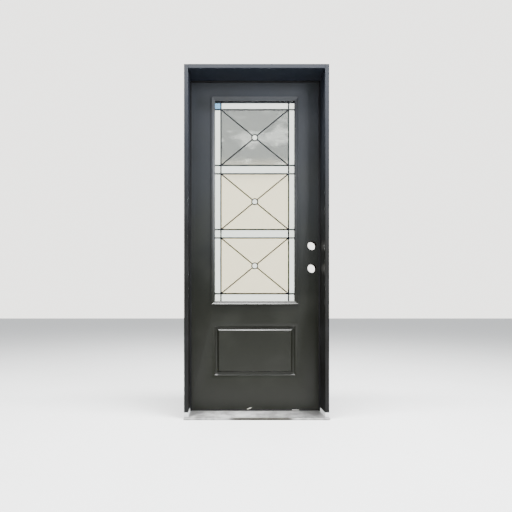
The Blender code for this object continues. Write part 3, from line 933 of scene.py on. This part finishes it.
@dataclass
class Slab:
    """The moulded slab, its lock bores, the sweep under it and the two lite frames."""

    arris: float = 0.0007
    bore_radius: float = 0.027
    latch_radius: float = 0.0127
    latch_depth: float = 0.02225
    bore_x: float = 0.351
    bore_levels: Pair = (0.891, 1.031)
    wall_room: float = 0.001
    wall_turn: float = 0.5
    land: float = 0.0025
    bevel: float = 0.0065
    bevel_fall: float = 0.0055
    slope: float = 0.013
    slope_fall: float = 0.0075
    proud: float = 0.0068
    flange: float = 0.0088
    flange_gap: float = 0.0003
    lite_radii: tuple[float, ...] = (0.0, 0.0012, 0.0009, 0.0016, 0.0014, 0.0, 0.0, 0.0)
    lite_curve: int = 5
    fin_count: int = 3
    fin_steps: int = 16
    fin_sharpness: int = 3
    fin_share: float = 0.35
    torn: Pair = (0.228, 0.271)

    def build(self) -> None:
        """Build and dress the slab with what is fixed to it."""
        self.build_slab()
        self.build_lite_frames()
        self.build_sweep()

    def build_slab(self) -> None:
        """Round the slab's arrises and lay its stile bare in the bores."""
        slab = softened("slab", "moulded_slab", self.arris)
        mesh = slab.data
        mesh.materials.append(SLAB_PAINT.material())
        mesh.materials.append(STILE_WOOD.material())
        centres = np.empty(len(mesh.polygons) * 3)
        normals = np.empty(len(mesh.polygons) * 3)
        mesh.polygons.foreach_get("center", centres)
        mesh.polygons.foreach_get("normal", normals)
        x, y, z = centres.reshape(-1, 3).T
        turn = np.abs(normals.reshape(-1, 3)) < self.wall_turn
        y_off = np.abs(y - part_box("slab")[0].y - self.latch_depth)
        bare = np.zeros(len(x), bool)
        for level in self.bore_levels:
            off = np.hypot(x - self.bore_x, z - level)
            bare |= (off < self.bore_radius + self.wall_room) & turn[:, 1]
            latch = np.abs(z - level) < self.latch_radius + self.wall_room
            bare |= latch & (x > self.bore_x) & turn[:, 0] & (y_off < self.latch_radius)
        mesh.polygons.foreach_set("material_index", bare.astype(np.int32))
        install(slab, SLAB_PAINT, Body.DOOR, ("slab",))

    def lite_profile(self, depth: float) -> np.ndarray:
        """Closed profile of a lite frame: a land, a steep bevel, then a slope down to the glass.

        Args:
            depth: How far behind the slab's face the glass lies.

        Returns:
            Outline as (inset, depth behind the slab's face).
        """
        bevel_end = self.land + self.bevel
        sight = bevel_end + self.slope
        shelf = -self.proud + self.bevel_fall
        corners = np.array(
            [
                [0.0, -self.flange_gap],
                [0.0, -self.proud],
                [self.land, -self.proud],
                [bevel_end, shelf],
                [sight, shelf + self.slope_fall],
                [sight, depth],
                [self.flange, depth],
                [self.flange, -self.flange_gap],
            ]
        )
        return rounded(corners, np.array(self.lite_radii), self.lite_curve)

    def build_lite_frames(self) -> None:
        """Make the outer and the inner lite frame."""
        skin_low, skin_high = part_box("slab")
        halves = (
            ("lite_frame_outside", skin_low.y, 1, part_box("lite_frame_outside")[1].y),
            ("lite_frame_inside", skin_high.y, -1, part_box("lite_frame_inside")[0].y),
        )
        for node, face, inward, glass in halves:
            low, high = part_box(node)
            profile = self.lite_profile(abs(glass - face))
            sides = (high.x, low.z, high.z)
            half = mitred_frame(f"moulded_{node}", profile, sides, face, inward)
            install(half, SLAB_PAINT, Body.DOOR, (node,))

    def sweep_profile(self, low: Vector, high: Vector) -> np.ndarray:
        """Closed section of the sweep: a flat back with soft fins hanging from it.

        The underside drops from the back to the cap by |cos(pi n s)|^3 as s goes from 0 to 1
        across the slab, which gives n - 1 whole fins between two half ones.

        Args:
            low: Lowest corner of the sweep's box.
            high: Highest corner.

        Returns:
            Outline as (y, z).
        """
        share = np.linspace(0.0, 1.0, self.fin_steps * self.fin_count + 1)
        drop = np.abs(np.cos(np.pi * self.fin_count * share)) ** self.fin_sharpness
        back = high.z - (high.z - low.z) * self.fin_share
        under = np.stack([low.y + (high.y - low.y) * share, back - (back - low.z) * drop], -1)
        return np.concatenate([under, [[high.y, high.z], [low.y, high.z]]])

    def build_sweep(self) -> None:
        """Make the sweep, with one torn length where its pale core shows."""
        low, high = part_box("door_sweep")
        profile = self.sweep_profile(low, high)
        torn_low, torn_high = self.torn
        stretches = (
            ("sweep_hinge_side", (low.x, torn_low), SWEEP_VINYL, ("door_sweep",)),
            ("sweep_torn_length", self.torn, SWEEP_CORE, ()),
            ("sweep_lock_side", (torn_high, high.x), SWEEP_VINYL, ()),
        )
        for name, ends, finish, stands_for in stretches:
            piece = run_along(name, profile, ends, 0)
            install(piece, finish, Body.DOOR, stands_for)


# The glass unit


@dataclass
class GlassUnit:
    """Two clear panes with the leaded panel sealed between them."""

    sight_inset: float = 0.022
    side_strip: float = 0.036
    end_strip: float = 0.046
    cross_strip: float = 0.052
    cells: int = 3
    came_width: float = 0.0090
    diagonal_width: float = 0.0078
    came_thickness: float = 0.0044
    came_roundness: float = 0.45
    came_points: int = 16
    ring_radius: float = 0.0220
    ring_width: float = 0.0072
    tuck: float = 0.0010
    plate: float = 0.0030
    bevel_width: float = 0.0085
    bevel_drop: float = 0.0014
    arris: float = 0.0005
    spacer_arris: float = 0.0004
    solder_radius: float = 0.0052
    solder_rise: float = 0.0003
    solder_sink: float = 0.0003
    small_solder: float = 0.62
    jewel_rise: float = 0.0011
    jewel_edge: float = 0.0009
    dome_rings: int = 6
    arc_steps: int = 10
    turns: int = 48
    soft_over: float = 60.0
    bevel_over: float = 12.0

    def __post_init__(self) -> None:
        """Work out the lattice's centre lines from the CAD's boxes, as the part does."""
        low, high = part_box("lite_frame_outside")
        self.sight = high.x - self.sight_inset
        self.sight_low = low.z + self.sight_inset
        self.sight_high = high.z - self.sight_inset
        lattice_low, lattice_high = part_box("came_lattice")
        self.middle = (lattice_low.y + lattice_high.y) / 2
        self.edge = (lattice_high.x, lattice_low.z, lattice_high.z)
        self.half_cell = self.sight - self.side_strip
        clear = self.sight_high - self.sight_low - 2 * self.end_strip
        clear -= (self.cells - 1) * self.cross_strip
        bottoms = self.sight_low + self.end_strip
        bottoms = bottoms + np.arange(self.cells) * (clear / self.cells + self.cross_strip)
        self.levels = np.stack([bottoms, bottoms + clear / self.cells], -1)
        self.rim = self.sight + self.came_width / 2

    def build(self) -> None:
        """Build and dress the whole unit."""
        for node in ("glass_outside", "glass_inside"):
            redress(node, PANE_GLASS)
        for node in ("spacer_outside", "spacer_inside"):
            piece = softened(node, f"drawn_{node}", self.spacer_arris, 2)
            install(piece, SPACER_METAL, Body.DOOR, (node,))
        self.build_lattice()
        self.build_solder()
        self.build_border()
        self.build_wedges()
        self.build_jewels()

    def came_section(self, width: float) -> np.ndarray:
        """Section of a came: rounded faces over a flat heart, as (across, depth).

        Both are half the size x sign(c) |c|^0.45 of a circle's cosine and sine.

        Args:
            width: Width of the came's face.

        Returns:
            Closed outline round the came's centre.
        """
        angle = np.linspace(0.0, 2 * np.pi, self.came_points, endpoint=False)
        turn = np.stack([np.cos(angle), np.sin(angle)], -1)
        size = np.array([width / 2, self.came_thickness / 2])
        return size * np.sign(turn) * np.abs(turn) ** self.came_roundness

    def bar(self, start: np.ndarray, end: np.ndarray, width: float) -> np.ndarray:
        """Points of a straight came: its section carried from start to end.

        Args:
            start: First end, as (x, z).
            end: Other end.
            width: Width of its face.

        Returns:
            Grid of points, one row to each end.
        """
        run = (end - start) / np.linalg.norm(end - start)
        section = self.came_section(width)
        ends = np.stack([start, end])
        across = ends[:, None] + section[None, :, :1] * np.array([-run[1], run[0]])
        depth = np.broadcast_to(self.middle + section[None, :, 1], across.shape[:2])
        return np.stack([across[..., 0], depth, across[..., 1]], -1)

    def diagonals(self, low: float, high: float) -> list[tuple[np.ndarray, np.ndarray]]:
        """Ends of the four cames between a cell's ring and its corners.

        Args:
            low: Bottom of the cell.
            high: Top of the cell.

        Returns:
            Start and end of each, as (x, z).
        """
        centre = np.array([0.0, (low + high) / 2])
        lines = []
        for x, z in ((-1, -1), (1, -1), (1, 1), (-1, 1)):
            corner = np.array([x * self.half_cell, centre[1] + z * (high - low) / 2])
            run = (corner - centre) / np.linalg.norm(corner - centre)
            lines.append((centre + run * (self.ring_radius - self.ring_width / 2), corner))
        return lines

    def build_lattice(self) -> None:
        """Make the cames: edge channel, uprights, crossbars, diagonals and rings."""
        bars = []
        low, high = self.sight_low - self.came_width / 2, self.sight_high + self.came_width / 2
        for x in (-self.half_cell, self.half_cell):
            bars.append(self.bar(np.array([x, low]), np.array([x, high]), self.came_width))
        for level in self.levels.ravel():
            start, end = np.array([-self.rim, level]), np.array([self.rim, level])
            bars.append(self.bar(start, end, self.came_width))
        for bottom, top in self.levels:
            for start, end in self.diagonals(bottom, top):
                bars.append(self.bar(start, end, self.diagonal_width))
        shell = Shell()
        for grid in bars:
            shell.add(grid, capped=False)
        for cell in self.levels:
            shell.add(self.ring(sum(cell) / 2), looped=True, capped=False)
        lattice = shell.make("leaded_cames", self.soft_over)
        install(lattice, CAME_METAL, Body.DOOR, ("came_lattice",))
        half = self.came_thickness / 2
        width = self.edge[0] - self.rim
        section = np.array([[0, -half], [width, -half], [width, half], [0, half]])
        channel = mitred_frame("edge_channel", section, self.edge, self.middle, 1)
        install(channel, CAME_METAL, Body.DOOR)

    def ring(self, level: float) -> np.ndarray:
        """Points of the came round a jewel: the section turned about the ring's centre.

        Args:
            level: Height of its centre.

        Returns:
            Grid of points, one row to each turn.
        """
        section = self.came_section(self.ring_width)
        angle = np.linspace(0.0, 2 * np.pi, self.turns, endpoint=False)[:, None]
        reach = self.ring_radius - self.ring_width / 2 + section[None, :, 0]
        across, up = reach * np.cos(angle), level + reach * np.sin(angle)
        depth = np.broadcast_to(self.middle + section[None, :, 1], across.shape)
        return np.stack([across, depth, up], -1)

    def dome(self, across: float, up: float, radius: float, rise: float, base: float) -> np.ndarray:
        """Points of a round lens: both faces swell by rise x (1 - (r / radius)^2) off the base.

        Args:
            across: Centre along x.
            up: Centre along z.
            radius: Radius of the lens.
            rise: How far each face swells.
            base: Half its thickness at the edge.

        Returns:
            Grid of points, one row to each ring from the front's middle to the back's.
        """
        steps = np.linspace(SMALLEST_RING, 1.0, self.dome_rings)
        share = np.concatenate([steps, steps[::-1]])
        side = np.repeat([-1.0, 1.0], self.dome_rings)
        angle = np.linspace(0.0, 2 * np.pi, self.turns // 2, endpoint=False)
        y = self.middle + side * (base + rise * (1 - share**2))
        x = across + radius * share[:, None] * np.cos(angle)
        z = up + radius * share[:, None] * np.sin(angle)
        return np.stack([x, np.broadcast_to(y[:, None], x.shape), z], -1)

    def build_solder(self) -> None:
        """Cover each crossing and each end at a ring with a low puddle of solder."""
        uprights = (-self.half_cell, self.half_cell)
        spots = [(x, level, self.solder_radius) for x in uprights for level in self.levels.ravel()]
        for bottom, top in self.levels:
            small = self.solder_radius * self.small_solder
            spots += [(*start, small) for start, _ in self.diagonals(bottom, top)]
        shell = Shell()
        half = self.came_thickness / 2 - self.solder_sink
        for x, z, radius in spots:
            shell.add(self.dome(x, z, radius, self.solder_rise + self.solder_sink, half))
        joints = shell.make("solder_joints", self.soft_over)
        install(joints, SOLDER, Body.DOOR)

    def plate_from(self, name: str, outline: np.ndarray, rim: float, drop: float) -> Object:
        """Cut a plate of glass to an outline, with a sloping rim on its front.

        The front's outline is drawn in by rim along each corner's bisector, and its edge drops
        by drop below the front.

        Args:
            name: Name of the piece.
            outline: Closed outline as (x, z).
            rim: Width of the sloping rim.
            drop: How far the rim falls.

        Returns:
            The plate.
        """
        before = outline - np.roll(outline, 1, axis=0)
        after = np.roll(outline, -1, axis=0) - outline
        before /= np.linalg.norm(before, axis=1)[:, None]
        after /= np.linalg.norm(after, axis=1)[:, None]
        area = np.sum(outline[:, 0] * np.roll(outline[:, 1], -1))
        area -= np.sum(outline[:, 1] * np.roll(outline[:, 0], -1))
        turn = np.array([-1.0, 1.0]) * np.sign(area)
        inward = before[:, ::-1] * turn + after[:, ::-1] * turn
        inward /= (1 + np.sum(before * after, axis=1))[:, None]
        back, front = self.middle + self.plate / 2, self.middle - self.plate / 2
        loops = [
            (outline + inward * self.arris, back),
            (outline, back - self.arris),
            (outline, front + drop),
            (outline + inward * rim, front),
        ]
        grid = np.stack([np.insert(loop, 1, y, axis=1) for loop, y in loops])
        return Shell().add(grid).make(name, self.bevel_over)

    def build_border(self) -> None:
        """Cut the bevelled strips and squares round and between the crossed cells."""
        half = self.came_width / 2 - self.tuck
        columns = (
            (-self.rim - self.tuck, -self.half_cell - half, "left"),
            (-self.half_cell + half, self.half_cell - half, "middle"),
            (self.half_cell + half, self.rim + self.tuck, "right"),
        )
        lines = [
            self.sight_low - self.came_width / 2 - self.tuck - half,
            *self.levels.ravel(),
            self.sight_high + self.came_width / 2 + self.tuck + half,
        ]
        for row, (low, high) in enumerate(zip(lines[:-1], lines[1:])):
            for left, right, where in columns:
                if row % 2 and where == "middle":
                    continue
                bottom, top = low + half, high - half
                outline = np.array([[left, bottom], [right, bottom], [right, top], [left, top]])
                name = f"bevelled_{row + 1}_{where}"
                piece = self.plate_from(name, outline, self.bevel_width, self.bevel_drop)
                # The top left square gets the pale blue tint, a painted sky reflection.
                sky = row == 2 * self.cells and where == "left"
                install(piece, SKY_REFLECTION_GLASS if sky else STRIP_GLASS, Body.DOOR)

    def wedge(self, low: float, high: float, quarter: Quarter) -> np.ndarray:
        """Outline of one piece round a ring: an arc, then the two corners of its cell.

        Args:
            low: Bottom of the cell.
            high: Top of the cell.
            quarter: Which piece of the four.

        Returns:
            Closed outline as (x, z), tucked into the cames.
        """
        near = self.diagonal_width / 2 - self.tuck
        ring = self.ring_radius - self.tuck
        reach = math.asin(near / ring)
        slope = math.atan2(high - low, 2 * self.half_cell)
        start, end = {
            Quarter.BELOW: (slope - math.pi, -slope),
            Quarter.RIGHT: (-slope, slope),
            Quarter.ABOVE: (slope, math.pi - slope),
            Quarter.LEFT: (math.pi - slope, math.pi + slope),
        }[quarter]
        angle = np.linspace(end - reach, start + reach, self.arc_steps + 1)
        arc = ring * np.stack([np.cos(angle), np.sin(angle)], -1)
        inner = np.array([self.half_cell, (high - low) / 2]) - self.came_width / 2 + self.tuck
        axis = 0 if quarter in (Quarter.RIGHT, Quarter.LEFT) else 1
        corners = []
        for turn, way in ((start, 1.0), (end, -1.0)):
            along = np.array([math.cos(turn), math.sin(turn)])
            beside = np.array([-along[1], along[0]]) * near * way
            length = (math.copysign(inner[axis], along[axis]) - beside[axis]) / along[axis]
            corners.append(along * length + beside)
        return np.concatenate([arc, corners]) + np.array([0.0, (low + high) / 2])

    def build_wedges(self) -> None:
        """Cut the four pieces of rain glass round each ring."""
        for cell, (low, high) in enumerate(self.levels):
            for quarter in Quarter:
                name = f"rain_glass_{cell + 1}_{quarter.name.lower()}"
                outline = self.wedge(low, high, quarter)
                piece = self.plate_from(name, outline, self.arris, self.arris)
                install(piece, WEDGE_GLASS, Body.DOOR)

    def build_jewels(self) -> None:
        """Set a domed round of clear glass in each ring."""
        radius = self.ring_radius - self.ring_width + self.tuck
        for cell, (low, high) in enumerate(self.levels):
            grid = self.dome(0.0, (low + high) / 2, radius, self.jewel_rise, self.jewel_edge)
            jewel = Shell().add(grid).make(f"round_glass_{cell + 1}", self.soft_over)
            install(jewel, JEWEL_GLASS, Body.DOOR)


# The hinges


@dataclass
class Hinges:
    """Three butt hinges, with four countersunk screws in each leaf."""

    count: int = 3
    arris: float = 0.00025
    half_leaf: float = 0.0015
    screw_radius: float = 0.0042
    screw_places: tuple[Pair, ...] = (
        (0.020, -0.040),
        (0.011, -0.014),
        (0.011, 0.014),
        (0.020, 0.040),
    )
    screw_back: float = 0.0012
    rings: int = 12
    turns: int = 48
    recess_reach: float = 0.0026
    recess_fade: float = 0.4
    recess_width: float = 0.0007
    recess_depth: float = 0.0011
    recess_walls: float = 1.6
    seat: float = 0.00025
    crisp_over: float = 40.0

    def build(self) -> None:
        """Build and dress the hinges."""
        for number in range(1, self.count + 1):
            for owner, body, side in (("jamb", Body.FRAME, 1), ("slab", Body.DOOR, -1)):
                node = f"hinge_{number}_{owner}_leaf"
                piece = softened(node, f"plated_{node}", self.arris, 2)
                install(piece, HINGE_METAL, body, (node,))
                self.build_screws(number, owner, body, side)
            pin = softened(f"hinge_{number}_pin", f"turned_hinge_{number}_pin", self.arris, 2)
            install(pin, HINGE_METAL, Body.FRAME, (f"hinge_{number}_pin",))

    def screw_grid(self) -> np.ndarray:
        """Head of a cross-recessed screw, as (out of the leaf, y, z) over radius and angle.

        The height is a shallow dome less a cross whose arms sink smoothly to the recess depth
        where the smaller of |y| and |z| is within the arm's width.

        Returns:
            Grid of points, one row to each radius.
        """
        radius = np.linspace(SMALLEST_RING, 1.0, self.rings)[:, None] * self.screw_radius
        angle = np.linspace(0.0, 2 * np.pi, self.turns, endpoint=False)[None, :]
        angle = angle + math.pi / self.turns
        y, z = radius * np.cos(angle), radius * np.sin(angle)
        near = np.minimum(np.abs(y), np.abs(z)) / self.recess_width
        arm = np.clip(self.recess_walls - near, 0.0, 1.0)
        fade = (self.recess_reach - radius) / (self.recess_reach * self.recess_fade)
        dome = self.seat * (1 - (radius / self.screw_radius) ** 2)
        out = dome - self.recess_depth * arm * np.clip(fade, 0.0, 1.0)
        return np.stack([np.broadcast_to(out, y.shape), y, z], -1)

    def build_screws(self, number: int, owner: str, body: Body, side: int) -> None:
        """Set the four screws of one leaf.

        Args:
            number: Number of the hinge.
            owner: Whether the leaf is on the jamb or the slab.
            body: The body that it rides on.
            side: +1 where the leaf's open face looks along +X, -1 along -X.
        """
        low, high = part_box(f"hinge_{number}_{owner}_leaf")
        pin_low, pin_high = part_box(f"hinge_{number}_pin")
        face = (pin_low.x + pin_high.x) / 2 - side * self.half_leaf
        grid = self.screw_grid()
        shell = Shell()
        for off, up in self.screw_places:
            middle = np.array([face, low.y + off, (low.z + high.z) / 2 + up])
            head = grid * np.array([side, 1.0, 1.0]) + middle
            back = head[-1:] - np.array([side * self.screw_back, 0.0, 0.0])
            shell.add(np.concatenate([head, back]))
        screws = shell.make(f"hinge_{number}_{owner}_screws", self.crisp_over)
        install(screws, SCREW_METAL, body)


# The studio


@dataclass(frozen=True)
class SoftBox:
    """A rectangular soft light, which faces the point that it is aimed at."""

    name: str
    at: Triple
    aim: Triple
    size: Pair
    power: float
    colour: str = "#ffffff"

    def hang(self) -> None:
        """Make the light."""
        light = bpy.data.lights.new(self.name, "AREA")
        light.shape = "RECTANGLE"
        light.size, light.size_y = self.size
        light.energy = self.power
        light.color = linear(self.colour)[:3]
        lamp = bpy.data.objects.new(self.name, light)
        lamp.location = self.at
        facing = Vector(self.aim) - Vector(self.at)
        lamp.rotation_euler = facing.to_track_quat("-Z", "Y").to_euler()
        bpy.context.scene.collection.objects.link(lamp)


@dataclass
class Studio:
    """Pale floor, soft light and the camera at the photograph's angle."""

    floor_reach: float = 30.0
    floor_steps: int = 40
    lens: float = 24.85
    sensor: float = 36.0
    camera_at: Triple = (-0.166, -2.13, 0.625)
    shift: Pair = (0.0547, 0.1084)
    boxes: tuple[SoftBox, ...] = (
        SoftBox("overhead_soft_box", (0.0, -1.3, 5.0), (0.0, -0.9, 0.0), (3.6, 2.1), 400.0),
        SoftBox("overhead_strip", (0.0, -0.6, 5.0), (0.0, -0.4, 0.0), (3.6, 0.5), 1200.0),
        SoftBox("right_soft_box", (2.3, -2.2, 2.5), (0.0, 0.0, 1.8), (1.4, 1.4), 280.0, "#f6f8ff"),
        SoftBox("left_soft_box", (-2.2, -2.4, 2.5), (0.0, 0.0, 1.8), (1.4, 1.4), 50.0, "#f6f8ff"),
    )
    rear_from: float = 0.3
    rear_full: float = 0.65
    high_from: float = 0.75
    low_sky: str = "#5c5f60"
    high_sky: str = "#e6eefa"
    rear_sky: str = "#fffdf8"
    front_strength: float = 1.2
    rear_strength: float = 3.0

    def build(self) -> None:
        """Build the floor, the light and the camera."""
        self.build_floor()
        self.build_sky()
        for box in self.boxes:
            box.hang()
        self.build_camera()

    def build_floor(self) -> None:
        """Lay the paper floor, a flat grid."""
        line = np.linspace(-self.floor_reach, self.floor_reach, self.floor_steps)
        x, y = np.meshgrid(line, line, indexing="xy")
        points = np.stack([x, y, np.zeros_like(x)], -1)
        faces = grid_faces(self.floor_steps, self.floor_steps, False, False).tolist()
        floor = surface("paper_floor", points, faces, SHARP_OVER_DEGREES)
        floor.data.materials.append(PAPER.material())

    def build_sky(self) -> None:
        """Light the studio from all round: white behind the door, greyer in front of it."""
        world = bpy.data.worlds.new("soft_studio")
        bpy.context.scene.world = world
        world.use_nodes = True
        tree = world.node_tree
        way = add_node(tree, Kind.COORDINATES).outputs["Generated"]
        split = add_node(tree, Kind.SPLIT, links={0: way})
        depth = split.outputs["Y"]
        up = add_node(tree, Kind.EASED, span(0.0, self.high_from), {0: split.outputs["Z"]})
        front = add_node(tree, Kind.MIX, {1: self.low_sky, 2: self.high_sky}, {0: up})
        rear = add_node(tree, Kind.EASED, span(self.rear_from, self.rear_full), {0: depth})
        sky = add_node(tree, Kind.MIX, {2: self.rear_sky}, {0: rear, 1: front})
        levels = span(self.rear_from, self.rear_full, self.front_strength, self.rear_strength)
        strength = add_node(tree, Kind.EASED, levels, {0: depth})
        wire(tree, tree.nodes["Background"], {}, {"Color": sky, "Strength": strength})

    def build_camera(self) -> None:
        """Stand the camera where the photograph was taken, looking straight along +Y."""
        data = bpy.data.cameras.new("photo_camera")
        data.lens = self.lens
        data.sensor_width = self.sensor
        data.shift_x, data.shift_y = self.shift
        camera = bpy.data.objects.new("photo_camera", data)
        camera.location = self.camera_at
        camera.rotation_euler = (math.pi / 2, 0.0, 0.0)
        bpy.context.scene.collection.objects.link(camera)
        bpy.context.scene.camera = camera


def main() -> None:
    """Build the whole scene in order."""
    logging.basicConfig(level=logging.INFO, format="%(name)s: %(message)s")
    Studio().build()
    Casing().build()
    Slab().build()
    GlassUnit().build()
    Hinges().build()


if __name__ == "__main__":
    main()
